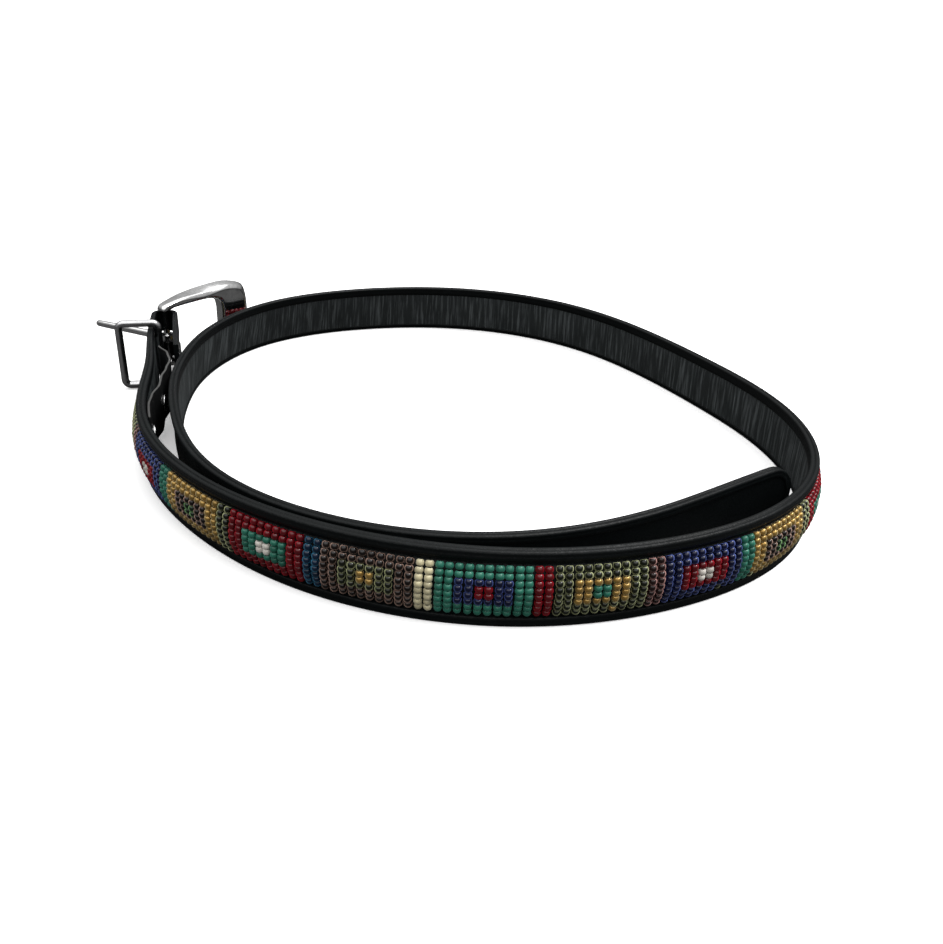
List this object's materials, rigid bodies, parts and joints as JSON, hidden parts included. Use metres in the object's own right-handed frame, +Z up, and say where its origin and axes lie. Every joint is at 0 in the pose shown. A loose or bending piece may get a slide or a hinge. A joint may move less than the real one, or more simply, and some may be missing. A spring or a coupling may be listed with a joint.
{
  "type": "beaded belt",
  "caption": "Beaded leather belt, unfastened and standing on its lower edge in a loop, with a metal buckle, keeper loop and a snap leaf.",
  "frame": {"origin": "middle of the footprint, on the surface that the belt stands on", "axes": "+Z up from the belt's lower edge to its upper edge, +Y from the beaded front of the loop to its back, +X to the right seen from the beaded front, with the buckle on the left"},
  "size_m": [0.3282, 0.2892, 0.0374],
  "materials": {
    "leather": "smooth black leather with a soft sheen",
    "lining": "finely wrinkled black lining leather",
    "beads": "glossy glass seed beads in many colours",
    "polished_metal": "polished silver-coloured metal"
  },
  "bodies": {
    "belt": {"strap": "leather", "lining": "lining", "bead_panel": "beads", "snap_leaf": "leather", "snap_cap_1": "polished_metal", "snap_cap_2": "polished_metal"},
    "buckle": {"buckle_frame": "polished_metal"},
    "buckle_tongue": {"tongue": "polished_metal"},
    "keeper": {"keeper_loop": "polished_metal"}
  },
  "joints": [
    {"name": "buckle_hinge", "type": "hinge", "parent": "belt", "child": "buckle", "pos_m": [-0.1228, 0.05049, 0.0177], "axis": [0, 0, 1], "range_deg": [0, 60]},
    {"name": "tongue_hinge", "type": "hinge", "parent": "buckle", "child": "buckle_tongue", "pos_m": [-0.1228, 0.05049, 0.0164], "axis": [0, 0, 1], "range_deg": [-90, 10]},
    {"name": "keeper_hinge", "type": "hinge", "parent": "belt", "child": "keeper", "pos_m": [-0.11774, 0.02671, 0.0165], "axis": [0, 0, 1], "range_deg": [-35, 40]}
  ]
}
